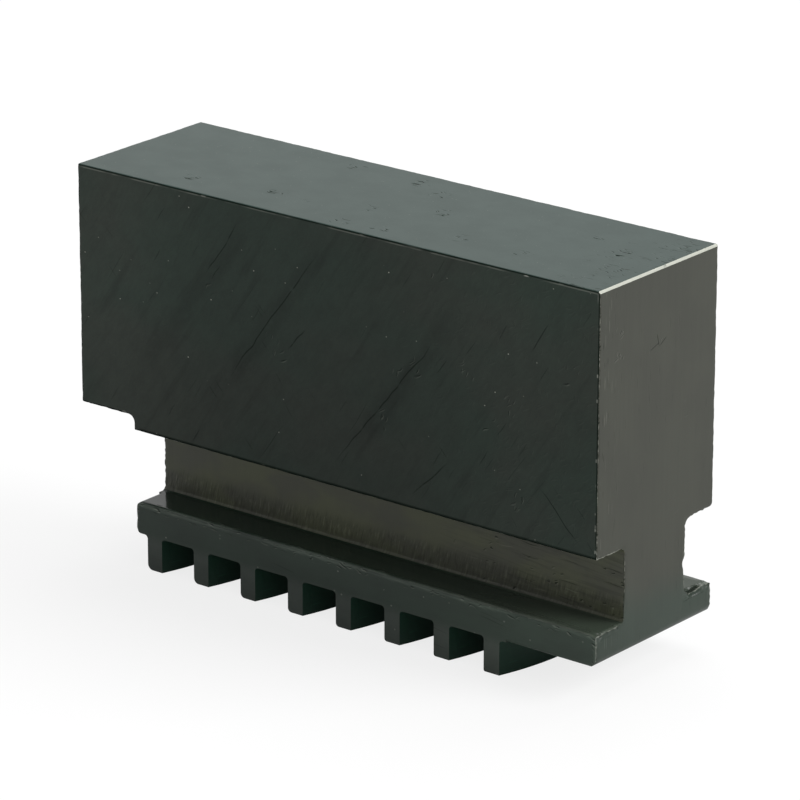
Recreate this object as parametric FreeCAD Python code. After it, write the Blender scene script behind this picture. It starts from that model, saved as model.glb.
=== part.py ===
import FreeCAD, Part
import math
import os

# Machinable soft jaw for a self-centring scroll chuck of about 200 mm, milled from one bar
# of steel. Millimetres. X runs from the inner end, which grips the work, to the outer end.
# Y runs across the jaw and Z is up. The origin lies under the middle of the jaw, level with
# the tips of its scroll teeth, which is how it stands on a bench.

# Block: the soft part that the user machines to suit the work
BLOCK_LENGTH = 84.5
BLOCK_WIDTH = 24.5
BLOCK_HEIGHT = 34.7
INNER_OVERHANG = 9.2        # the block reaches this far past the guide, towards the work
RELIEF_RISE = 2.0           # the overhang's underside is this much higher than the shoulders

# Guide: the neck and the flange that slide in the chuck body's T-slot
NECK_WIDTH = 12.8
GROOVE_HEIGHT = 10.0
FLANGE_WIDTH = 24.2
FLANGE_THICKNESS = 4.35

# Scroll teeth: crescents between the turns of the chuck's spiral thread
SCROLL_PITCH = 8.0
THREAD_WIDTH = 4.0
THREAD_CLEARANCE = 0.38     # play between the thread and a pair of flanks
SMALLEST_TURN_RADIUS = 38.0  # a tooth's convex outer flank clears the innermost turn
LARGEST_TURN_RADIUS = 88.0  # its concave inner flank clears the outermost turn
TOOTH_HEIGHT = 4.75
FIRST_TOOTH_REACH = 6.3     # guide's inner end to the first outer flank, on the centre line
PLAIN_TAIL = 12.0           # least length of bare flange past the last tooth

# Corners and broken edges
GROOVE_FILLET = 0.85        # neck to block, run down the whole groove
FOOT_FILLET = 0.6           # neck to flange, likewise
RELIEF_FILLET = 1.0         # in the corner under the overhang
ROOT_FILLET = 0.5           # tooth to flange
FLANGE_NOSE_ROUND = 0.7     # inner end of the flange, above and below
FLANGE_EDGE_ROUND = 0.6     # upper long edges of the flange
TAIL_EDGE_ROUND = 0.5       # lower long edges of the bare tail
TAIL_END_ROUND = 1.3        # lower edge of the tail at the outer end
FIRST_TIP_ROUND = 0.8       # inner edge of the tooth tips: the first tooth is broken the most
LAST_TIP_ROUND = 0.25
EDGE_BREAK = 0.2            # the block's edges
TOP_END_CHAMFER = 0.28      # the block's upper edge at its outer end

# Shapes that are fused or cut are drawn a little past the faces they meet
FILLET_SPAN = 2             # a fillet's leg is drawn this many radii long
SWEEP_MARGIN = 4            # degrees that a turned flank runs past each side of the flange

# Levels and stations that follow from the sizes above
inner_x = -BLOCK_LENGTH / 2
outer_x = BLOCK_LENGTH / 2
guide_x = inner_x + INNER_OVERHANG
root_z = TOOTH_HEIGHT
flange_top_z = root_z + FLANGE_THICKNESS
shoulder_z = flange_top_z + GROOVE_HEIGHT
top_z = shoulder_z + BLOCK_HEIGHT
tooth_thickness = SCROLL_PITCH - THREAD_WIDTH - THREAD_CLEARANCE
toothed_length = outer_x - guide_x - FIRST_TOOTH_REACH - PLAIN_TAIL
tooth_count = int(toothed_length / SCROLL_PITCH) + 1
first_crest_x = guide_x + FIRST_TOOTH_REACH
last_crest_x = first_crest_x + (tooth_count - 1) * SCROLL_PITCH
outer_flank_bow = SMALLEST_TURN_RADIUS - math.sqrt(SMALLEST_TURN_RADIUS**2 - (FLANGE_WIDTH / 2) ** 2)
tail_x = last_crest_x - outer_flank_bow + ROOT_FILLET


def in_xz(u, v):
    return FreeCAD.Vector(u, 0, v)


def in_yz(u, v):
    return FreeCAD.Vector(0, u, v)


def in_xy(u, v):
    return FreeCAD.Vector(u, v, 0)


def outline_face(corners, place):
    """Face inside a closed outline. A corner is (u, v, radius), and a radius of 0 is sharp."""
    stops = []
    for i, (u, v, radius) in enumerate(corners):
        corner = place(u, v)
        if radius == 0:
            stops.append((corner, corner, corner))
            continue
        back = place(*corners[i - 1][:2]) - corner
        ahead = place(*corners[(i + 1) % len(corners)][:2]) - corner
        half_angle = back.getAngle(ahead) / 2
        back.normalize()
        ahead.normalize()
        inward = (back + ahead).normalize()
        tangent = radius / math.tan(half_angle)
        reach = radius / math.sin(half_angle) - radius
        stops.append((corner + back * tangent, corner + inward * reach, corner + ahead * tangent))
    edges = []
    for i, (start, middle, end) in enumerate(stops):
        if start != end:
            edges.append(Part.Arc(start, middle, end).toShape())
        following = stops[(i + 1) % len(stops)][0]
        if not end.isEqual(following, 1e-7):
            edges.append(Part.LineSegment(end, following).toShape())
    return Part.Face(Part.Wire(edges))


def across(corners, width):
    """Solid of one side outline, extruded evenly about the jaw's centre plane."""
    face = outline_face(corners, in_xz)
    face.translate(FreeCAD.Vector(0, -width / 2, 0))
    return face.extrude(FreeCAD.Vector(0, width, 0))


def along(corners, start, end):
    """Solid of one cross-section, extruded from one station to another."""
    face = outline_face(corners, in_yz)
    face.translate(FreeCAD.Vector(start, 0, 0))
    return face.extrude(FreeCAD.Vector(end - start, 0, 0))


def upright(corners, low, high):
    """Solid of one plan outline, extruded from one level to another."""
    face = outline_face(corners, in_xy)
    face.translate(FreeCAD.Vector(0, 0, low))
    return face.extrude(FreeCAD.Vector(0, 0, high - low))


def block():
    """The block with its raised overhang, shared by a side, an end and a plan outline."""
    overhang_z = shoulder_z + RELIEF_RISE
    side = [
        (inner_x, overhang_z, EDGE_BREAK),
        (guide_x, overhang_z, RELIEF_FILLET),
        (guide_x, shoulder_z, 0),
        (outer_x, shoulder_z, 0),
        (outer_x, top_z - TOP_END_CHAMFER, 0),
        (outer_x - TOP_END_CHAMFER, top_z, 0),
        (inner_x, top_z, EDGE_BREAK),
    ]
    half = BLOCK_WIDTH / 2
    end = [
        (-half, shoulder_z, EDGE_BREAK),
        (half, shoulder_z, EDGE_BREAK),
        (half, top_z, EDGE_BREAK),
        (-half, top_z, EDGE_BREAK),
    ]
    plan = [
        (inner_x, -half, EDGE_BREAK),
        (outer_x, -half, EDGE_BREAK),
        (outer_x, half, EDGE_BREAK),
        (inner_x, half, EDGE_BREAK),
    ]
    solid = across(side, BLOCK_WIDTH).common(along(end, inner_x, outer_x))
    return solid.common(upright(plan, shoulder_z, top_z))


def neck():
    """The neck between the two guide grooves, flared by fillets into the block and the flange."""
    half = NECK_WIDTH / 2
    flare = half + FILLET_SPAN * GROOVE_FILLET
    foot_flare = half + FILLET_SPAN * FOOT_FILLET
    foot_z = flange_top_z - FLANGE_THICKNESS / 2
    seat_z = shoulder_z + RELIEF_RISE / 2
    corners = [
        (-foot_flare, foot_z, 0),
        (foot_flare, foot_z, 0),
        (foot_flare, flange_top_z, 0),
        (half, flange_top_z, FOOT_FILLET),
        (half, shoulder_z, GROOVE_FILLET),
        (flare, shoulder_z, 0),
        (flare, seat_z, 0),
        (-flare, seat_z, 0),
        (-flare, shoulder_z, 0),
        (-half, shoulder_z, GROOVE_FILLET),
        (-half, flange_top_z, FOOT_FILLET),
        (-foot_flare, flange_top_z, 0),
    ]
    return along(corners, guide_x, outer_x)


def flange():
    """The guide flange. Its lower edges are sharp between the teeth and rounded on the tail."""
    side = [
        (guide_x, root_z, FLANGE_NOSE_ROUND),
        (outer_x, root_z, TAIL_END_ROUND),
        (outer_x, flange_top_z, 0),
        (guide_x, flange_top_z, FLANGE_NOSE_ROUND),
    ]
    half = FLANGE_WIDTH / 2
    sections = []
    for lower_round, start, end in ((0, guide_x, tail_x), (TAIL_EDGE_ROUND, tail_x, outer_x)):
        corners = [
            (-half, root_z, lower_round),
            (half, root_z, lower_round),
            (half, flange_top_z, FLANGE_EDGE_ROUND),
            (-half, flange_top_z, FLANGE_EDGE_ROUND),
        ]
        sections.append(along(corners, start, end))
    return across(side, FLANGE_WIDTH).common(sections[0].fuse(sections[1]))


def turned(corners, axis_x, sweep):
    """Sector turned about an upright axis on the centre plane, evenly to both sides of it."""
    face = outline_face(corners, in_xz)
    axis = FreeCAD.Vector(axis_x, 0, 0)
    up = FreeCAD.Vector(0, 0, 1)
    face.rotate(axis, up, -sweep / 2)
    return face.revolve(axis, up, sweep)


def scroll_tooth(crest_x, tip_round):
    """Crescent tooth: what lies inside its turned outer flank and outside its inner one."""
    half = FLANGE_WIDTH / 2
    seat_z = root_z + FLANGE_THICKNESS / 2
    reach = SCROLL_PITCH / 2
    leg = FILLET_SPAN * ROOT_FILLET
    outer_axis_x = crest_x - SMALLEST_TURN_RADIUS
    outer_flank = [
        (crest_x - tooth_thickness - reach, 0, 0),
        (crest_x, 0, 0),
        (crest_x, root_z, ROOT_FILLET),
        (crest_x + leg, root_z, 0),
        (crest_x + leg, seat_z, 0),
        (crest_x - tooth_thickness - reach, seat_z, 0),
    ]
    inner_crest_x = crest_x - tooth_thickness
    inner_axis_x = inner_crest_x - LARGEST_TURN_RADIUS
    inner_flank = [
        (inner_crest_x, 0, tip_round),
        (crest_x + reach, 0, 0),
        (crest_x + reach, seat_z, 0),
        (inner_crest_x - leg, seat_z, 0),
        (inner_crest_x - leg, root_z, 0),
        (inner_crest_x, root_z, ROOT_FILLET),
    ]
    sweep = 2 * (math.degrees(math.asin(half / SMALLEST_TURN_RADIUS)) + SWEEP_MARGIN)
    crescent = turned(outer_flank, outer_axis_x, sweep).common(turned(inner_flank, inner_axis_x, sweep))
    inner_end = crest_x - outer_flank_bow - tooth_thickness - reach
    slab = Part.makeBox(crest_x + reach - inner_end, FLANGE_WIDTH, seat_z)
    slab.translate(FreeCAD.Vector(inner_end, -half, 0))
    return crescent.common(slab)


def scroll_teeth():
    """The row of teeth, one scroll pitch apart, with tips that sharpen towards the outer end."""
    teeth = []
    for i in range(tooth_count):
        crest_x = first_crest_x + i * SCROLL_PITCH
        share = i / max(tooth_count - 1, 1)
        tip_round = FIRST_TIP_ROUND + share * (LAST_TIP_ROUND - FIRST_TIP_ROUND)
        teeth.append(scroll_tooth(crest_x, tip_round))
    return teeth


def soft_jaw():
    """The whole jaw as one solid."""
    solid = block().multiFuse([neck(), flange()] + scroll_teeth()).removeSplitter()
    return solid.Solids[0] if len(solid.Solids) == 1 else solid


os.makedirs("parts", exist_ok=True)
jaw = soft_jaw()
print("solids", len(jaw.Solids), "valid", jaw.isValid(), "faces", len(jaw.Faces))
print("volume", round(jaw.Volume, 1), "box", jaw.BoundBox)
jaw.exportStep("parts/soft_jaw.step")
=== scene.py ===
import math

import bmesh
import bpy
from mathutils import Matrix, Vector, noise


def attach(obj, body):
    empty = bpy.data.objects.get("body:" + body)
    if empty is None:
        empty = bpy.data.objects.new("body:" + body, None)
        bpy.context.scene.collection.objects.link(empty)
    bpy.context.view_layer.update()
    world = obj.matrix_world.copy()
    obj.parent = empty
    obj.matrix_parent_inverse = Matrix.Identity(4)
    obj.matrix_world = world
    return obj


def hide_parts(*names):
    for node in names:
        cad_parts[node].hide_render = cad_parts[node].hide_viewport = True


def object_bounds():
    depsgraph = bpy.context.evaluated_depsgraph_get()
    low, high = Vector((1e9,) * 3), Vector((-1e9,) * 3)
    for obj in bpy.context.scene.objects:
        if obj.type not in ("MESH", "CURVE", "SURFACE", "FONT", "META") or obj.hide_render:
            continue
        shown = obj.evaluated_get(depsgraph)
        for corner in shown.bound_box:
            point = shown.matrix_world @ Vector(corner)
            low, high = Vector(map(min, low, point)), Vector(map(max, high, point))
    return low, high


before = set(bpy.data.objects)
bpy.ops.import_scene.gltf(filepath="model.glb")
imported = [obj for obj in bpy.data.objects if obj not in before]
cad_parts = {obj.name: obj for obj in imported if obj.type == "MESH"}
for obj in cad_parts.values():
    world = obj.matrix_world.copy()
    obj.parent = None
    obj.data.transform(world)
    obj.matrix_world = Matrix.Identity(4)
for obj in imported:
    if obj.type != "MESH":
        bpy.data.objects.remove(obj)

MM = 0.001
X, Y, Z = 0, 1, 2
cad_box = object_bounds()
jaw_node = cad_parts["soft_jaw"]


# ---------------------------------------------------------------- camera

CAMERA_PLACE = Vector((400.62, -498.46, 253.90)) * MM
CAMERA_AIM = Vector((0.91, 0.87, 27.22)) * MM
CAMERA_ROLL = math.radians(0.0855)
CAMERA_LENS = 237.85
SENSOR_WIDTH = 36
FARTHEST_SEEN = 20


def make_camera():
    """A long lens from the front right, a little above the jaw."""
    data = bpy.data.cameras.new("camera")
    data.lens = CAMERA_LENS
    data.sensor_width = SENSOR_WIDTH
    data.clip_end = FARTHEST_SEEN
    camera = bpy.data.objects.new("camera", data)
    bpy.context.scene.collection.objects.link(camera)
    bpy.context.scene.camera = camera
    turn = (CAMERA_AIM - CAMERA_PLACE).to_track_quat("-Z", "Y").to_matrix().to_4x4()
    camera.matrix_world = Matrix.Translation(CAMERA_PLACE) @ turn @ Matrix.Rotation(CAMERA_ROLL, 4, "Z")


# ---------------------------------------------------------------- shader maths


class Wire:
    """An output socket in a node tree. Arithmetic on it adds Math nodes."""

    def __init__(self, tree, socket):
        self.tree = tree
        self.socket = socket

    def math(self, operation, *values):
        inputs = dict(enumerate(values))
        return self.tree.add("ShaderNodeMath", {"operation": operation}, inputs)

    def __add__(self, other):
        return self.math("ADD", self, other)

    def __radd__(self, other):
        return self.math("ADD", other, self)

    def __sub__(self, other):
        return self.math("SUBTRACT", self, other)

    def __rsub__(self, other):
        return self.math("SUBTRACT", other, self)

    def __mul__(self, other):
        return self.math("MULTIPLY", self, other)

    def __rmul__(self, other):
        return self.math("MULTIPLY", other, self)

    def __truediv__(self, other):
        return self.math("DIVIDE", self, other)

    def __abs__(self):
        return self.math("ABSOLUTE", self)

    def output(self, name):
        """Another output of the same node."""
        return Wire(self.tree, self.socket.node.outputs[name])

    def clamped(self):
        """This value, kept between 0 and 1."""
        return self.tree.add("ShaderNodeClamp", {}, {"Value": self})

    def ramp(self, start, end):
        """Smooth step from 0, where this value is at start, to 1, where it is at end."""
        inputs = {"Value": self, "From Min": start, "From Max": end}
        return self.tree.add("ShaderNodeMapRange", {"interpolation_type": "SMOOTHSTEP"}, inputs)


class Tree:
    """A node tree that is filled from Python expressions."""

    def __init__(self, owner):
        owner.use_nodes = True
        self.nodes = owner.node_tree.nodes
        self.links = owner.node_tree.links
        self.nodes.clear()

    def add(self, kind, settings, inputs, output=0):
        """One node: its settings are set first, then the values or links of its sockets."""
        node = self.nodes.new(kind)
        for name, value in settings.items():
            setattr(node, name, value)
        for name, value in inputs.items():
            if isinstance(value, Wire):
                self.links.new(value.socket, node.inputs[name])
            else:
                node.inputs[name].default_value = value
        if not node.outputs:
            return node
        return Wire(self, node.outputs[output])

    def blend(self, share, first, second):
        """Colour that goes from first to second as share goes from 0 to 1."""
        inputs = {"Factor": share, 6: colour(first), 7: colour(second)}
        return self.add("ShaderNodeMix", {"data_type": "RGBA"}, inputs, 2)

    def tinted(self, first, second):
        """Product of two colours."""
        inputs = {"Factor": 1.0, 6: colour(first), 7: colour(second)}
        return self.add("ShaderNodeMix", {"data_type": "RGBA", "blend_type": "MULTIPLY"}, inputs, 2)


def colour(value):
    """A colour as a Mix node takes it: a wire, or numbers with an alpha of 1."""
    return value if isinstance(value, Wire) else (*value, 1.0)


# ---------------------------------------------------------------- world, floor, lamps

BACKDROP_RAYS = ("Is Camera Ray", "Is Glossy Ray", "Is Transmission Ray")


def seen_as_backdrop(tree):
    """1 for rays that should meet a white studio: those of the camera, of gloss and of glass."""
    rays = [tree.add("ShaderNodeLightPath", {}, {}, name) for name in BACKDROP_RAYS]
    return sum(rays, 0.0).clamped()


WHITE = (1, 1, 1, 1)
ROOM_LIGHT = 0.55           # the room's white on matt surfaces


def make_world():
    """White to the camera and in gloss, and a softer light on matt surfaces."""
    world = bpy.data.worlds.new("studio")
    bpy.context.scene.world = world
    tree = Tree(world)
    strength = ROOM_LIGHT + (1 - ROOM_LIGHT) * seen_as_backdrop(tree)
    background = tree.add("ShaderNodeBackground", {}, {"Color": WHITE, "Strength": strength})
    tree.add("ShaderNodeOutputWorld", {}, {"Surface": background})


FLOOR_SIZE = 6.0
FLOOR_PAINT = (0.82, 0.82, 0.82, 1)
FLOOR_GLOW_SHARE = 0.8      # to the camera
FLOOR_GLOSS_SHARE = 0.05    # in gloss, where the floor's shadow shows more


def make_floor():
    """Pale floor under the tooth tips. It keeps a faint shadow of the jaw."""
    mesh = bpy.data.meshes.new("floor")
    plane = bmesh.new()
    bmesh.ops.create_grid(plane, x_segments=1, y_segments=1, size=FLOOR_SIZE / 2)
    plane.to_mesh(mesh)
    plane.free()
    floor = bpy.data.objects.new("floor", mesh)
    floor.location.z = cad_box[0].z
    bpy.context.scene.collection.objects.link(floor)
    material = bpy.data.materials.new("pale_floor")
    tree = Tree(material)
    paint = tree.add("ShaderNodeBsdfDiffuse", {}, {"Color": FLOOR_PAINT})
    glow = tree.add("ShaderNodeEmission", {}, {"Color": WHITE, "Strength": 1.0})
    camera = tree.add("ShaderNodeLightPath", {}, {}, "Is Camera Ray")
    share = seen_as_backdrop(tree) * FLOOR_GLOSS_SHARE + camera * (FLOOR_GLOW_SHARE - FLOOR_GLOSS_SHARE)
    surface = tree.add("ShaderNodeMixShader", {}, {0: share, 1: paint, 2: glow})
    tree.add("ShaderNodeOutputMaterial", {}, {"Surface": surface})
    mesh.materials.append(material)


def make_lamp(name, place, size, watts):
    """Square soft box that faces the jaw."""
    data = bpy.data.lights.new(name, "AREA")
    data.size = size
    data.energy = watts
    lamp = bpy.data.objects.new(name, data)
    bpy.context.scene.collection.objects.link(lamp)
    aim = (cad_box[0] + cad_box[1]) / 2
    lamp.location = place
    lamp.rotation_euler = (aim - Vector(place)).to_track_quat("-Z", "Y").to_euler()


def make_lamps():
    """One soft box at the back right, and a larger one above the jaw."""
    make_lamp("right_soft_box", (0.95, 0.45, 0.75), 0.7, 15)
    make_lamp("top_soft_box", (-0.2, 0.5, 1.3), 0.9, 8)


# ---------------------------------------------------------------- the worn jaw


class Levels:
    """Where the jaw's main flat faces lie, in metres, read from the CAD node."""

    LEAST_AREA = 100 * MM * MM
    SQUARE_ON = 0.9999      # least cosine between such a face and its axis

    def __init__(self, solid):
        self.outer = self.flats(solid, X, 1)[-1]
        self.inner, self.guide = self.flats(solid, X, -1)
        self.neck, self.flange, self.block = self.flats(solid, Y, 1)
        self.ledge, self.top = self.flats(solid, Z, 1)
        self.tips, self.roots, self.shoulder, self.overhang = self.flats(solid, Z, -1)

    def flats(self, solid, axis, sign):
        """Places along one axis of the large flat faces that look that way, in order."""
        areas = {}
        for face in solid.faces:
            if face.normal[axis] * sign > self.SQUARE_ON:
                place = round(face.calc_center_median()[axis], 5)
                areas[place] = areas.get(place, 0) + face.calc_area()
        return sorted(place for place, area in areas.items() if area > self.LEAST_AREA)


MERGE_DISTANCE = 0.001 * MM
FLAT_ANGLE = math.radians(0.3)      # faces that meet at less than this are one flat


def merged_copy():
    """The CAD node's shape with its loose triangles joined into whole faces."""
    mesh = jaw_node.data.copy()
    mesh.attributes.remove(mesh.attributes["custom_normal"])
    solid = bmesh.new()
    solid.from_mesh(mesh)
    bpy.data.meshes.remove(mesh)
    bmesh.ops.remove_doubles(solid, verts=solid.verts, dist=MERGE_DISTANCE)
    bmesh.ops.dissolve_limit(solid, angle_limit=FLAT_ANGLE, verts=solid.verts, edges=solid.edges)
    return solid


class Edge:
    """A straight edge that wears: inward points from it into the steel. Depth, reach and step are in
    millimetres: how far it is pressed in, how far the wear spreads, and how finely it is divided."""

    def __init__(self, start, end, inward, depth, reach=0.5, step=0.45):
        self.start = Vector(start)
        self.run = Vector(end) - self.start
        self.axis = max(range(3), key=lambda i: abs(self.run[i]))
        self.inward = Vector(inward).normalized()
        self.depth = depth * MM
        self.reach = reach * MM
        self.step = step * MM

    def offset(self, point):
        """Distance from a point to the edge."""
        share = (point - self.start).dot(self.run) / self.run.length_squared
        return (point - self.start - self.run * min(max(share, 0), 1)).length


GROOVE_CORNER = 0.9 * MM    # the fillets at the top of the grooves, which wear leaves alone
FOOT_CORNER = 0.65 * MM     # the fillets at the foot of the neck, likewise


def jaw_edges(at):
    """Every straight edge that is rubbed, nicked or left rough by the cutter."""
    edges = []
    for side in (-1, 1):
        block, flange, neck = side * at.block, side * at.flange, side * at.neck
        corner = neck + side * GROOVE_CORNER
        under = at.shoulder - GROOVE_CORNER
        foot = neck + side * FOOT_CORNER
        above = at.ledge + FOOT_CORNER
        down, up = (0, -side, -1), (0, -side, 1)
        back, ahead = (-1, -side, 0), (1, -side, 0)
        edges += [
            Edge((at.inner, block, at.top), (at.outer, block, at.top), down, depth=0.1),
            Edge((at.guide, block, at.shoulder), (at.outer, block, at.shoulder), up, depth=0.1),
            Edge((at.inner, block, at.overhang), (at.guide, block, at.overhang), up, depth=0.1),
            Edge((at.outer, block, at.shoulder), (at.outer, block, at.top), back, depth=0.12),
            Edge((at.inner, block, at.overhang), (at.inner, block, at.top), ahead, depth=0.12),
            Edge((at.outer, neck, above), (at.outer, neck, under), back, depth=0.2, step=0.2),
            Edge(
                (at.guide, neck, above), (at.guide, neck, under), ahead, depth=0.3, reach=0.6, step=0.25
            ),
            Edge(
                (at.outer, corner, at.shoulder),
                (at.outer, block, at.shoulder),
                (-1, 0, 1),
                depth=0.25,
                step=0.2,
            ),
            Edge(
                (at.outer, foot, at.ledge),
                (at.outer, flange, at.ledge),
                (-1, 0, -1),
                depth=0.4,
                reach=0.8,
                step=0.2,
            ),
            Edge(
                (at.guide, flange, at.ledge),
                (at.outer, flange, at.ledge),
                down,
                depth=0.14,
                reach=1.0,
                step=0.4,
            ),
            Edge(
                (at.outer, flange, at.roots),
                (at.outer, flange, at.ledge),
                back,
                depth=0.25,
                reach=0.6,
                step=0.25,
            ),
            Edge((at.guide, flange, at.roots), (at.guide, flange, at.ledge), ahead, depth=0.16),
        ]
    return edges + [
        Edge((at.outer, -at.block, at.top), (at.outer, at.block, at.top), (-1, 0, -1), depth=0.1),
        Edge((at.inner, -at.block, at.top), (at.inner, at.block, at.top), (1, 0, -1), depth=0.1),
        Edge(
            (at.inner, -at.block, at.overhang), (at.inner, at.block, at.overhang), (1, 0, 1), depth=0.1
        ),
    ]


class Dent:
    """A knock in the steel: what lies within the radius is pushed along by up to the depth."""

    STEEPNESS = 1.6

    def __init__(self, centre, radius, push, depth):
        self.centre = Vector(centre)
        self.radius = radius * MM
        self.push = Vector(push).normalized() * depth * MM

    def move(self, vert):
        share = 1 - (vert.co - self.centre).length / self.radius
        if share > 0:
            vert.co += self.push * min(1, self.STEEPNESS * share)


def jaw_dents(at):
    """The knocks at the outer end: one in the back of the neck and two in the flange's upper edge."""
    return [
        Dent((at.outer, at.neck, at.ledge + 4.2 * MM), radius=1.0, push=(0, -1, 0), depth=0.36),
        Dent((at.outer, at.neck + 2.2 * MM, at.ledge), radius=1.5, push=(-1, 0, -1.3), depth=0.75),
        Dent((at.outer, at.flange - 0.9 * MM, at.ledge), radius=0.9, push=(-1, 0, -1), depth=0.35),
        Dent((at.outer, -at.flange + 0.8 * MM, at.ledge), radius=1.1, push=(-1, 0, -1), depth=0.35),
    ]


CUT_STATIONS = (0.25, 0.5, 0.75, 1.1)   # lines beside the edges, in millimetres from them
CUT_TOLERANCE = 0.0001 * MM
STRAIGHTNESS = 0.999        # how much of a line must run along its edge, for the line to be divided
REACH_MARGIN = 1.1          # lines are divided this far past the reach of the wear


def cut_across(solid, axis, place):
    """Cuts the whole jaw's faces where a plane across one axis meets them."""
    normal = Vector((axis == X, axis == Y, axis == Z))
    everything = [*solid.verts, *solid.edges, *solid.faces]
    bmesh.ops.bisect_plane(
        solid, geom=everything, dist=CUT_TOLERANCE, plane_co=normal * place, plane_no=normal
    )


def divide_edges(solid, at, edges):
    """Narrow bands beside every edge, divided along it into short pieces that can move."""
    inwards = [(X, at.outer, -1), (X, at.inner, 1), (X, at.guide, 1)]
    inwards += [(Z, at.top, -1), (Z, at.ledge, -1), (Z, at.shoulder, 1), (Z, at.overhang, 1)]
    inwards += [(Y, side * half, -side) for side in (-1, 1) for half in (at.block, at.flange, at.neck)]
    for axis, place, sign in inwards:
        for station in CUT_STATIONS:
            cut_across(solid, axis, place + sign * station * MM)
    for edge in edges:
        runs = {}
        for line in solid.edges:
            first, last = (vert.co for vert in line.verts)
            length = (last - first).length
            count = round(length / edge.step) - 1
            straight = abs(last[edge.axis] - first[edge.axis]) > STRAIGHTNESS * length
            close = edge.offset((first + last) / 2) < edge.reach * REACH_MARGIN
            if count > 0 and straight and close:
                runs.setdefault(count, []).append(line)
        for count, lines in runs.items():
            bmesh.ops.subdivide_edges(solid, edges=lines, cuts=count, use_grid_fill=True)


COARSE_WEAR = 2.3 * MM      # size of the broad waves along a worn edge, and of the small nicks
FINE_WEAR = 0.6 * MM
FINE_WEAR_START = Vector((7, 3, 5))
EVEN_PRESS = 0.25           # shares of an edge's depth that come from each
COARSE_PRESS = 0.6
FINE_PRESS = 0.7


def wear_edges(solid, edges, dents):
    """Presses the edges in by an uneven amount, and records how close each corner lies to an edge."""
    worn = solid.verts.layers.float.new("wear")
    for vert in solid.verts:
        place = vert.co.copy()
        for edge in edges:
            share = 1 - edge.offset(place) / edge.reach
            if share <= 0:
                continue
            vert[worn] = max(vert[worn], share)
            coarse = noise.noise(place / COARSE_WEAR)
            fine = noise.noise(place / FINE_WEAR + FINE_WEAR_START)
            press = max(0.0, EVEN_PRESS + COARSE_PRESS * coarse + FINE_PRESS * fine)
            vert.co += edge.inward * edge.depth * share * share * press
        for dent in dents:
            dent.move(vert)


CRISP_ANGLE = math.radians(28)


def set_smooth(solid):
    """Curved faces are shaded smooth, and the edges of flat faces stay crisp."""
    for face in solid.faces:
        face.smooth = True
    for edge in solid.edges:
        edge.smooth = edge.calc_face_angle(0) < CRISP_ANGLE


LEVEL_PLAY = 0.02 * MM      # what counts as level with the teeth's roots


def kind_of(face, at):
    """Which finish a face takes, from where it lies and which way it looks."""
    centre = face.calc_center_median()
    axis = max(range(3), key=lambda i: abs(face.normal[i]))
    if min(face.normal.x, face.normal.z) > 0.5 and centre.z > at.top - MM:
        return "rubbed_edge"
    if centre.z < at.roots - LEVEL_PLAY and axis != Y:
        return "tooth_flank"
    if axis == X:
        return "jaw_end"
    if axis == Z:
        if centre.z > at.top - MM:
            return "block_top"
        return "tooth_flank" if centre.z < at.roots + LEVEL_PLAY else "ledge"
    if centre.z < at.ledge:
        return "guide_side"
    return "groove_wall" if abs(centre.y) < at.neck + MM else "block_side"


def make_jaw():
    """The worn jaw, which stands for its CAD node."""
    solid = merged_copy()
    at = Levels(solid)
    edges = jaw_edges(at)
    divide_edges(solid, at, edges)
    wear_edges(solid, edges, jaw_dents(at))
    set_smooth(solid)
    kinds = list(FINISHES)
    for face in solid.faces:
        face.material_index = kinds.index(kind_of(face, at))
    mesh = bpy.data.meshes.new("worn_soft_jaw")
    solid.to_mesh(mesh)
    solid.free()
    for finish in FINISHES.values():
        mesh.materials.append(finish())
    jaw = bpy.data.objects.new("worn_soft_jaw", mesh)
    bpy.context.scene.collection.objects.link(jaw)
    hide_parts("soft_jaw")
    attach(jaw, "root")


# ---------------------------------------------------------------- finishes of the steel

STROKE_RADIUS = 0.3         # of a mark, as a share of the cell that it lies in
STROKE_CORE = 0.45          # the share of that radius that is at full strength
FAINTEST_STROKE = 0.3       # strength of the faintest mark, where the strongest is 1
CLOUD_GRAIN = 0.55
CLOUD_SEED_STEP = 17.3      # how far apart in a pattern two seeds lie, and the jaw's two sides
CLOUD_SIDE_STEP = 9.7
MARK_SEED_STEP = 31.7
MARK_SIDE_STEP = 53.1
NICK_BEND = 0.9
BARE_STEEL = (0.50, 0.51, 0.45)
SOOT_AND_SHADE_BLACK = (0.004, 0.007, 0.005, 1.0)   # black deposit in scratches and pits, and painted shade where broad masks lay it on; it reflects nothing


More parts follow.
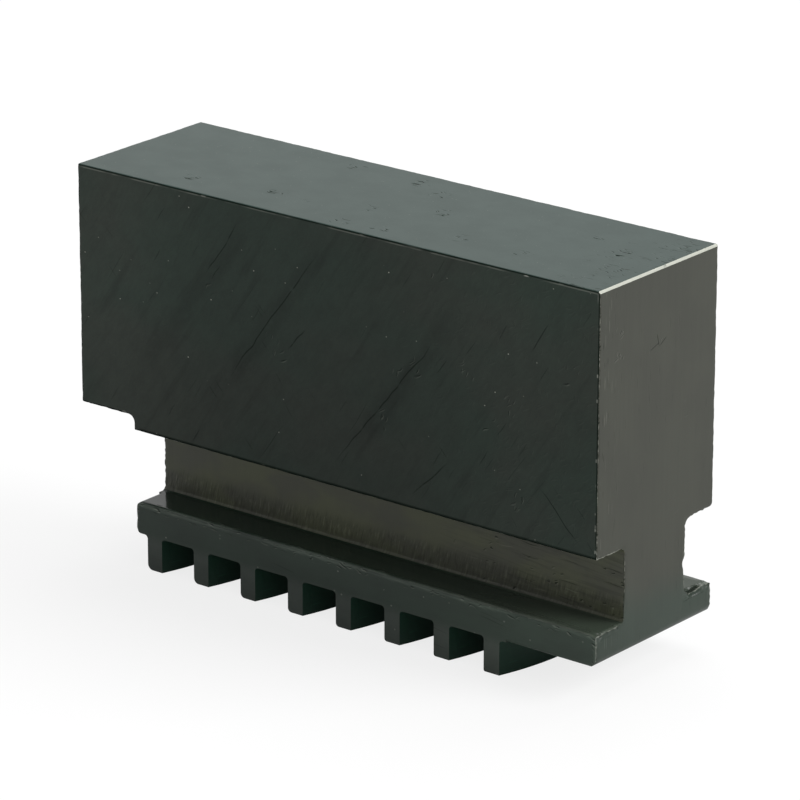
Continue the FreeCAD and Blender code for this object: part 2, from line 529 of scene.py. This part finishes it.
class Finish(Tree):
    """Blackened steel on one kind of face, built up in layers. Lengths are millimetres on the face,
    and u and v are the two axes of the object that lie in it."""

    def __init__(self, name, first_axis, second_axis, tint, rough):
        self.material = bpy.data.materials.new(name)
        super().__init__(self.material)
        place = self.add("ShaderNodeTexCoord", {}, {}, "Object")
        spread = self.add("ShaderNodeSeparateXYZ", {}, {"Vector": place})
        self.u = spread.output(first_axis) / MM
        self.v = spread.output(second_axis) / MM
        third_axis = ({"X", "Y", "Z"} - {first_axis, second_axis}).pop()
        self.far = (spread.output(third_axis) / MM).ramp(-0.5, 0.5)
        self.wear = self.add("ShaderNodeAttribute", {"attribute_name": "wear"}, {}, "Fac")
        self.tint = tint
        self.rough = rough
        self.bare = 0.0
        self.soot_and_shade = 0.0
        self.height = 0.0

    def turned(self, degrees):
        """u and v turned on the face, so that the first one runs at this angle to u."""
        if degrees == 0:
            return self.u, self.v
        c, s = math.cos(math.radians(degrees)), math.sin(math.radians(degrees))
        return self.u * c + self.v * s, self.v * c - self.u * s

    def cloud(self, length, width, turn=0, detail=2, seed=0):
        """Soft noise from 0 to 1 whose patches have this length and width."""
        along, off = self.turned(turn)
        inputs = {"X": along / length, "Y": off / width + CLOUD_SEED_STEP * seed}
        inputs["Z"] = self.far * CLOUD_SIDE_STEP
        place = self.add("ShaderNodeCombineXYZ", {}, inputs)
        inputs = {"Vector": place, "Scale": 1.0, "Detail": detail, "Roughness": CLOUD_GRAIN}
        return self.add("ShaderNodeTexNoise", {"noise_dimensions": "3D"}, inputs)

    def marks(self, length, width, share, turn=0, seed=0, bend=0.0, shift=0.0):
        """Mask of separate strokes of this size. Share says how many of the possible ones there are,
        bend how far they wander, and shift moves them all sideways."""
        along, off = self.turned(turn)
        off = off + shift + self.far * MARK_SIDE_STEP
        if bend:
            off = off + bend * self.cloud(length, length, turn, detail=1, seed=seed + 5)
        across = off * (2 * STROKE_RADIUS / width) + MARK_SEED_STEP * seed
        inputs = {"X": along * (2 * STROKE_RADIUS / length), "Y": across}
        place = self.add("ShaderNodeCombineXYZ", {}, inputs)
        settings = {"voronoi_dimensions": "2D", "feature": "F1"}
        spots = self.add("ShaderNodeTexVoronoi", settings, {"Vector": place, "Scale": 1.0})
        chance = self.add("ShaderNodeSeparateColor", {}, {"Color": spots.output("Color")})
        kept = chance.output("Red").ramp(1 - share, 1.002 - share)
        strength = chance.output("Green") * (1 - FAINTEST_STROKE) + FAINTEST_STROKE
        return spots.ramp(STROKE_RADIUS, STROKE_RADIUS * STROKE_CORE) * kept * strength

    def scratches(self, runs, width, stray):
        """Mask of scratches between pairs of points (u, v) of the near face. They stray and fade."""
        wander = stray * (self.cloud(4, 4, detail=1, seed=9) - 0.5)
        faded = self.cloud(2.2, 2.2, seed=12).ramp(0.24, 0.46)
        mask = 0.0
        for start, end in runs:
            run = Vector(end) - Vector(start)
            turn = math.degrees(math.atan2(run.y, run.x))
            middle = Vector(start).lerp(Vector(end), 0.5)
            c, s = run.normalized()
            along, off = self.turned(turn)
            off = off - (middle.y * c - middle.x * s) + wander
            far = abs(along - (middle.x * c + middle.y * s))
            mask = mask + abs(off).ramp(width / 2, width / 8) * far.ramp(run.length / 2, run.length / 4)
        return (mask * faded).clamped()

    def near(self, places, radius):
        """Mask of what lies within a radius of any of these points (u, v)."""
        mask = 0.0
        for u, v in places:
            off_u = self.u - u
            off_v = self.v - v
            mask = mask + (off_u * off_u + off_v * off_v).ramp(radius**2, radius**2 / 9)
        return mask.clamped()

    def scuffs(self, where, length, width, share, turn, seed, bare, soot_and_shade):
        """Small wandering nicks, each a dark stroke with a bright one at its side."""
        dark = self.marks(length, width, share, turn, seed, NICK_BEND) * where
        light = self.marks(length, width, share, turn, seed, NICK_BEND, width * 0.7) * where
        self.mark(light, tone=1.2, bare=bare, rise=0.015)
        self.mark(dark, tone=0.7, rough=0.1, rise=-0.03, soot_and_shade=soot_and_shade)

    def grey(self, value):
        """Grey of this brightness."""
        return self.add("ShaderNodeCombineColor", {}, {"Red": value, "Green": value, "Blue": value})

    def mark(self, mask, tone=1.0, bare=0.0, rough=0.0, rise=0.0, soot_and_shade=0.0):
        """Lays marks on the face: they change the oxide's tone, bare the steel, roughen it, stand proud,
        or turn it black and glossless.
        The black layer is soot in scratches and pits, and painted shade where a mask lays it over broad
        patches or lines."""
        if tone != 1.0:
            self.tint = self.tinted(self.tint, self.grey(1 + mask * (tone - 1)))
        if bare:
            self.bare = self.bare + mask * bare
        if rough:
            self.rough = self.rough + mask * rough
        if rise:
            self.height = self.height + mask * rise
        if soot_and_shade:
            self.soot_and_shade = self.soot_and_shade + mask * soot_and_shade

    def done(self, ior=1.35):
        """Joins the layers in one shader and returns the material."""
        bare = self.bare.clamped() if isinstance(self.bare, Wire) else self.bare
        inputs = {
            "Base Color": self.blend(bare, self.tint, BARE_STEEL),
            "Metallic": bare,
            "Roughness": self.rough,
            "IOR": ior,
        }
        if isinstance(self.height, Wire):
            relief = {"Height": self.height, "Distance": MM, "Strength": 1.0}
            inputs["Normal"] = self.add("ShaderNodeBump", {}, relief)
        surface = self.add("ShaderNodeBsdfPrincipled", {}, inputs)
        if isinstance(self.soot_and_shade, Wire):
            inputs = {"Base Color": SOOT_AND_SHADE_BLACK, "Roughness": 1.0, "Specular IOR Level": 0.0}
            soot_and_shade_shader = self.add("ShaderNodeBsdfPrincipled", {}, inputs)
            layers = {0: self.soot_and_shade.clamped(), 1: surface, 2: soot_and_shade_shader}
            surface = self.add("ShaderNodeMixShader", {}, layers)
        self.add("ShaderNodeOutputMaterial", {}, {"Surface": surface})
        return self.material


# Where the marks lie that stand out: on the long sides (along, up), on the top (along, across), on
# the ends (across, up) and on the flange's upper face (along, across)
SLANTED_SCRATCHES = (
    ((-14.8, 51.3), (-20.8, 42.8)),
    ((-1.3, 50.3), (-17.3, 29.3)),
    ((17.8, 43.3), (0.3, 21.8)),
    ((19.3, 26.8), (13.3, 20.8)),
    ((33.3, 26.8), (39.8, 20.3)),
    ((34.8, 48.3), (31.8, 43.8)),
    ((-3.8, 39.3), (-6.8, 35.8)),
)
SOFT_STREAKS = (
    ((1.5, 53.5), (-20.3, 25.3)),
    ((-11.5, 53.5), (-33.5, 26.0)),
    ((22.5, 49.5), (2.3, 22.8)),
)
SIDE_CLUSTERS = (
    (-9, 38),
    (-8, 35),
    (11.5, 36.5),
    (14, 38),
    (22.5, 39.5),
    (25.5, 33),
    (28.5, 36),
    (38, 42),
    (17, 51),
    (-20, 42),
    (30, 24),
    (9, 30),
)
TOP_CLUSTERS = (
    (-26.9, -7.8),
    (-14, -5.6),
    (-9, -7.3),
    (-1, -3.6),
    (0, -10),
    (-13, 9.3),
    (-2, 8.9),
    (3, 6.4),
    (8, 0.6),
    (6, -9.8),
    (16, -6),
    (29.5, 4),
    (35, 1.4),
    (26, -6.5),
)
END_CLUSTERS = (
    (-8, 47.5),
    (-8.5, 44),
    (0.5, 43.8),
    (6, 34),
    (4.8, 21.5),
)
END_SCRIBBLE = (
    ((-1.9, 43.5), (0.2, 44.2)),
    ((0.0, 43.6), (1.6, 44.6)),
    ((-0.4, 45.5), (0.1, 43.4)),
)
KNOCKED_CORNER = (
    (41.9, 8.6),
    (41.6, 7.6),
)


def block_side():
    """Long sides: ground on the slant, with a few long scratches, soft streaks and clusters of nicks,
    and painted shade low down.
    """
    side = Finish("block_side_oxide", "X", "Z", tint=(0.0095, 0.0225, 0.0145), rough=0.32)
    patches = side.cloud(26, 20, detail=3, seed=1).ramp(0.35, 0.65)
    side.tint = side.blend(patches, side.tint, (0.015, 0.0222, 0.0155))
    # Painted shade: the side is darkened and its gloss dulled towards its lower middle, where the
    # floor's shadow darkens its reflection, and less so towards the ends and the top
    inner = side.u.ramp(-14, -42)
    outer = side.u.ramp(6, 34)
    high = (side.v - 0.15 * side.u).ramp(26, 52)
    painted_shade = 1 - (inner * 0.7 + outer * 0.55 + high * 0.5).clamped()
    side.mark(painted_shade, tone=0.75, soot_and_shade=0.2)
    side.mark(
        side.cloud(3.2, 2.2, turn=56, detail=3, seed=15).ramp(0.35, 0.7),
        tone=0.88,
        rough=0.02,
        soot_and_shade=0.03,
    )
    side.mark(side.cloud(1.1, 0.5, turn=50, detail=3, seed=16).ramp(0.35, 0.65), tone=1.14, rise=0.004)
    side.mark(side.cloud(8, 0.5, turn=56, detail=3, seed=2), tone=0.92, rough=0.06, rise=0.002)
    side.mark(
        side.cloud(18, 1.8, turn=56, detail=3, seed=3).ramp(0.46, 0.28),
        tone=0.85,
        rough=0.02,
        soot_and_shade=0.06,
    )
    near_side = 1 - side.far
    side.mark(
        side.scratches(SOFT_STREAKS, width=4.2, stray=2.5) * near_side,
        tone=0.85,
        rough=0.02,
        soot_and_shade=0.07,
    )
    side.mark(
        side.scratches(SLANTED_SCRATCHES, width=0.24, stray=0.8) * near_side,
        tone=0.7,
        rough=0.1,
        rise=-0.008,
        soot_and_shade=0.42,
    )
    side.mark(
        side.marks(8, 0.16, share=0.016, turn=55, seed=1, bend=0.8),
        tone=0.8,
        rough=0.1,
        rise=-0.004,
        soot_and_shade=0.3,
    )
    side.mark(
        side.marks(3.2, 0.2, share=0.03, turn=57, seed=2, bend=0.7),
        tone=0.8,
        rough=0.1,
        rise=-0.006,
        soot_and_shade=0.28,
    )
    side.mark(
        side.marks(2.5, 0.16, share=0.012, turn=-48, seed=3, bend=0.5),
        tone=0.8,
        rough=0.1,
        rise=-0.004,
        soot_and_shade=0.25,
    )
    where = (side.near(SIDE_CLUSTERS, radius=1.7) * near_side + outer * 0.1 + 0.04).clamped()
    side.scuffs(where, 1.5, 0.2, share=0.22, turn=28, seed=4, bare=0.09, soot_and_shade=0.5)
    side.scuffs(where, 1.0, 0.18, share=0.2, turn=75, seed=5, bare=0.08, soot_and_shade=0.5)
    side.mark(side.marks(0.24, 0.2, share=0.0022, seed=6), bare=0.6)
    rim = side.wear.ramp(0.5, 0.75)
    side.mark(rim * side.cloud(5, 5, seed=10).ramp(0.25, 0.5), rough=0.1, soot_and_shade=0.8)
    line = side.wear.ramp(0.15, 0.3) * side.wear.ramp(0.62, 0.45) * side.v.ramp(52, 53)
    side.mark(line * side.cloud(7, 7, detail=3, seed=11).ramp(0.42, 0.58), bare=0.14)
    chips = side.marks(1.1, 0.6, share=0.35, seed=8) * side.wear.ramp(0.25, 0.5)
    side.mark(chips * side.cloud(11, 11, detail=1, seed=8).ramp(0.45, 0.6), bare=0.55)
    # Painted shade: a thin black, glossless line along the foot of the side, where the block's lower
    # edge lies in shadow
    under = side.v.ramp(19.62, 19.42) * side.u.ramp(-32.5, -32)
    side.mark(under * side.cloud(6, 6, seed=12).ramp(0.2, 0.4), rough=0.1, soot_and_shade=0.55)
    return side.done(ior=1.3)


def block_top():
    """Top: smooth, greenish and almost clean, with small pits in clusters and at the outer end."""
    top = Finish("block_top_oxide", "X", "Y", tint=(0.003, 0.0235, 0.0165), rough=0.3)
    top.mark(top.cloud(5, 4, detail=3, seed=1).ramp(0.3, 0.7), tone=0.9, rough=0.03)
    near_end = top.u.ramp(31, 41) * top.cloud(3, 3, detail=1, seed=7).ramp(0.4, 0.6)
    where = (top.near(TOP_CLUSTERS, radius=1.7) + near_end * 0.7 + 0.02).clamped()
    top.scuffs(where, 1.8, 0.26, share=0.4, turn=10, seed=1, bare=0.06, soot_and_shade=0.9)
    top.scuffs(where, 1.0, 0.24, share=0.35, turn=-20, seed=2, bare=0.06, soot_and_shade=0.9)
    top.mark(top.marks(0.18, 0.18, share=0.01, seed=3), bare=0.25)
    rim = top.wear.ramp(0.7, 0.95)
    top.mark(rim * top.cloud(4, 4, seed=8).ramp(0.35, 0.6), rough=0.1, soot_and_shade=0.5)
    return top.done(ior=1.32)


def jaw_end():
    """Ends: browner where the oxide is thin, greener at the flange, with fine upright lines."""
    end = Finish("jaw_end_oxide", "Y", "Z", tint=(0.0234, 0.0255, 0.0172), rough=0.38)
    low = (end.v + 4 * (end.cloud(5, 4, detail=3, seed=1) - 0.5)).ramp(15, 8.0)
    end.tint = end.blend(low, end.tint, (0.014, 0.024, 0.016))
    end.mark(end.cloud(0.35, 14, detail=3, seed=2), tone=0.82, rough=0.06, rise=0.003)
    end.mark(end.cloud(7, 9, detail=3, seed=8).ramp(0.35, 0.65), tone=1.15)
    front = end.u.ramp(-7, -11.5)
    end.mark(end.marks(0.22, 2.2, share=0.2, seed=3) * front, tone=1.5, bare=0.04, rise=0.01)
    end.mark(end.marks(0.18, 1.2, share=0.12, seed=10) * front, rough=0.1, rise=-0.01, soot_and_shade=0.35)
    end.mark(end.marks(0.14, 2.0, share=0.06, seed=4), tone=0.7, rough=0.1, rise=-0.01, soot_and_shade=0.12)
    where = (end.near(END_CLUSTERS, radius=1.5) + 0.06).clamped()
    end.scuffs(where, 0.8, 0.2, share=0.14, turn=60, seed=6, bare=0.1, soot_and_shade=0.5)
    end.scuffs(where, 1.3, 0.18, share=0.12, turn=25, seed=7, bare=0.08, soot_and_shade=0.4)
    scribble = end.scratches(END_SCRIBBLE, width=0.2, stray=0.3)
    end.mark(scribble, rough=0.1, rise=-0.02, soot_and_shade=0.6)
    ragged = end.wear + 0.9 * (end.cloud(0.5, 0.5, seed=9) - 0.5)
    end.mark(ragged.ramp(0.7, 1.0), bare=0.3, rough=0.05)
    end.mark(
        end.marks(0.6, 0.3, share=0.5, turn=30, seed=11, bend=0.6) * end.wear.ramp(0.3, 0.6),
        rough=0.1,
        rise=-0.03,
        soot_and_shade=0.7,
    )
    return end.done()


def groove_wall():
    """Walls of the guide grooves: thin brown oxide, with smears that the cutter left low down."""
    wall = Finish("groove_wall_oxide", "X", "Z", tint=(0.056, 0.062, 0.035), rough=0.38)
    patches = wall.cloud(9, 5, detail=3, seed=1).ramp(0.35, 0.65)
    wall.tint = wall.blend(patches, wall.tint, (0.044, 0.047, 0.033))
    wall.mark(wall.cloud(0.5, 7.0, seed=2), tone=0.93, rough=0.08, rise=0.002)
    low = (wall.v + 2.0 * (wall.cloud(1.6, 60, detail=3, seed=3) - 0.5)).ramp(12.9, 11.3)
    wall.mark(low, tone=0.85, soot_and_shade=0.05)
    smear = wall.cloud(0.36, 2.2, turn=-12, detail=3, seed=4)
    wall.mark(smear.ramp(0.52, 0.36) * low, tone=0.75, rough=0.1, rise=-0.02)
    wall.mark(smear.ramp(0.55, 0.68) * low, tone=1.45, bare=0.012, rise=0.02)
    outer = wall.u.ramp(10, 26)
    wall.mark(wall.cloud(7, 0.5, turn=-3, detail=3, seed=13).ramp(0.55, 0.35) * outer, tone=0.75)
    wall.mark(
        wall.marks(4, 0.2, share=0.1, turn=-4, seed=5, bend=0.8) * outer,
        tone=0.7,
        rough=0.2,
        rise=-0.02,
        soot_and_shade=0.2,
    )
    wall.mark(wall.marks(3, 0.16, share=0.1, turn=3, seed=6, bend=0.8) * outer, tone=1.4, bare=0.03)
    wall.scuffs(outer * 0.9, 0.7, 0.22, share=0.07, turn=15, seed=7, bare=0.06, soot_and_shade=0.75)
    edge = (wall.wear + 0.9 * (wall.cloud(0.6, 0.6, seed=9) - 0.5)).ramp(0.75, 1.05)
    wall.mark(edge, rough=0.1, soot_and_shade=0.8)
    return wall.done()


def ledge():
    """Faces of the flange and block that look up or down beside the grooves: smooth and glossy."""
    shelf = Finish("ledge_oxide", "X", "Y", tint=(0.0165, 0.029, 0.02), rough=0.13)
    # Painted light: the shelf is lighter towards the outer end, where it lies open to the light
    shelf.tint = shelf.blend(shelf.u.ramp(0, 38), shelf.tint, (0.04, 0.052, 0.039))
    shelf.mark(shelf.cloud(9, 0.5, detail=3, seed=2), tone=0.85, rough=0.05, rise=0.002)
    rim = shelf.wear + 0.7 * (shelf.cloud(3, 0.3, detail=3, seed=4) - 0.5)
    shelf.mark(
        rim.ramp(0.35, 0.75) * shelf.cloud(8, 8, seed=5).ramp(0.35, 0.6),
        tone=1.5,
        bare=0.05,
        rough=0.15,
    )
    shelf.scuffs(
        shelf.wear.ramp(0.05, 0.4), 1.6, 0.2, share=0.25, turn=0, seed=6, bare=0.12, soot_and_shade=0.6
    )
    shelf.mark(
        shelf.near(KNOCKED_CORNER, radius=1.5) * shelf.wear.ramp(0.1, 0.3), rough=0.2, soot_and_shade=0.7
    )
    return shelf.done()


def guide_side():
    """Fronts of the flange and teeth: dark green, scuffed along the flange's upper edge."""
    side = Finish("guide_side_oxide", "X", "Z", tint=(0.019, 0.031, 0.023), rough=0.38)
    # Painted light: lit copies of the oxide, lighter at the teeth and lower flange, and towards the
    # outer end
    side.tint = side.blend(side.v.ramp(5.5, 3.5), side.tint, (0.04, 0.05, 0.043))
    painted_light_tint = side.tinted(side.tint, (1.35, 1.35, 1.3))
    side.tint = side.blend(side.u.ramp(5, 35), side.tint, painted_light_tint)
    side.mark(side.cloud(7, 4, detail=3, seed=1).ramp(0.3, 0.7), tone=0.8)
    side.mark(side.cloud(6, 0.35, turn=4, detail=3, seed=2), tone=0.9, rough=0.1, rise=0.004)
    rim = side.wear + 0.8 * (side.cloud(3, 0.3, turn=-10, detail=3, seed=4) - 0.5)
    side.mark(
        rim.ramp(0.25, 0.7) * side.cloud(8, 8, seed=5).ramp(0.3, 0.55), tone=1.5, bare=0.05, rough=0.05
    )
    side.scuffs(side.wear.ramp(0.0, 0.25), 1.8, 0.2, share=0.3, turn=-14, seed=6, bare=0.13, soot_and_shade=0.7)
    side.scuffs(
        side.wear.ramp(0.0, 0.25), 0.9, 0.16, share=0.25, turn=10, seed=9, bare=0.13, soot_and_shade=0.7
    )
    side.mark(
        side.marks(5, 0.16, share=0.04, turn=-8, seed=7, bend=0.4), rough=0.1, rise=-0.01, soot_and_shade=0.35
    )
    side.mark(side.marks(0.35, 0.3, share=0.012, seed=8), bare=0.2)
    return side.done()


def tooth_flank():
    """Flanks, tips and roots of the teeth: the oxide lies thick here."""
    flank = Finish("tooth_flank_oxide", "Y", "Z", tint=(0.004, 0.026, 0.0145), rough=0.42)
    flank.mark(flank.cloud(8, 0.5, detail=3, seed=2), tone=0.7, rough=0.1, rise=0.004)
    flank.mark(flank.marks(2, 0.2, share=0.05, seed=3), tone=1.8)
    return flank.done()


def rubbed_edge():
    """The chamfer along the top of the outer end, rubbed bright."""
    edge = Finish("rubbed_edge_steel", "Y", "Z", tint=(0.012, 0.02, 0.015), rough=0.34)
    edge.mark(edge.cloud(1.3, 1.3, detail=3, seed=1).ramp(0.2, 0.36), bare=0.8)
    return edge.done()


# The jaw's kinds of face with their finishes, in the order of the mesh's slots
FINISHES = {
    "block_side": block_side,
    "block_top": block_top,
    "jaw_end": jaw_end,
    "groove_wall": groove_wall,
    "ledge": ledge,
    "guide_side": guide_side,
    "tooth_flank": tooth_flank,
    "rubbed_edge": rubbed_edge,
}

scene = bpy.context.scene
scene.view_settings.view_transform = "Standard"
make_camera()
make_world()
make_floor()
make_lamps()
make_jaw()
